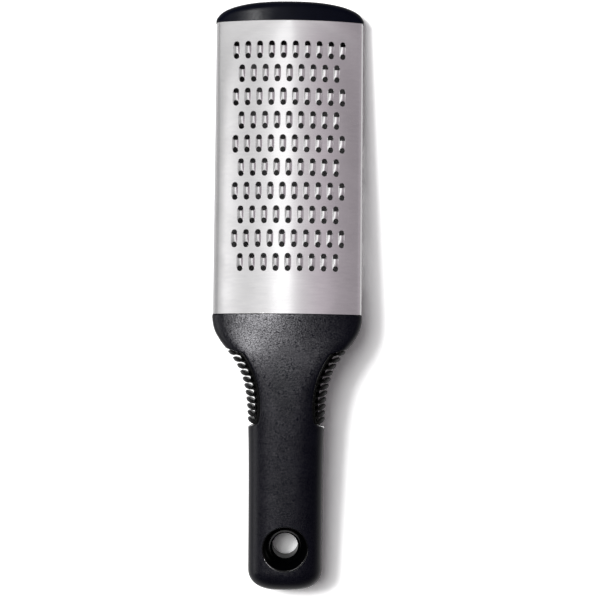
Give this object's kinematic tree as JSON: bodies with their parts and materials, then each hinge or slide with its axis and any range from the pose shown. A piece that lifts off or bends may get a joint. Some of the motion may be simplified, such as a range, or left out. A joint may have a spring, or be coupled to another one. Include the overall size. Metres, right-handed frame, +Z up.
{
  "type": "hand-held grater",
  "caption": "Hand-held grater: an arched steel plate with double-ended teeth, a padded tip cap and a flared soft-grip handle with side fins and a hanging hole.",
  "frame": {"origin": "on the table under the middle of the part, as it rests teeth up on its foot and the belly of its handle", "axes": "+Y along the part towards the tip, +Z up, +X across the plate"},
  "size_m": [0.0762, 0.3001, 0.03],
  "materials": {
    "plate_steel": "satin, brushed across the plate",
    "rivet_steel": "plain",
    "core_plastic": "gloss",
    "grip_rubber": "fine-grained soft touch",
    "fin_rubber": "smooth, a little glossy",
    "cap_plastic": "satin",
    "foot_rubber": "matt"
  },
  "bodies": {
    "root": {"grating_plate": "plate_steel", "tang_rivets": "rivet_steel", "handle_core": "core_plastic", "handle_grip": "grip_rubber", "fin_pad_left": "fin_rubber", "fin_pad_right": "fin_rubber", "end_cap": "cap_plastic", "foot_pad": "foot_rubber"}
  },
  "joints": []
}
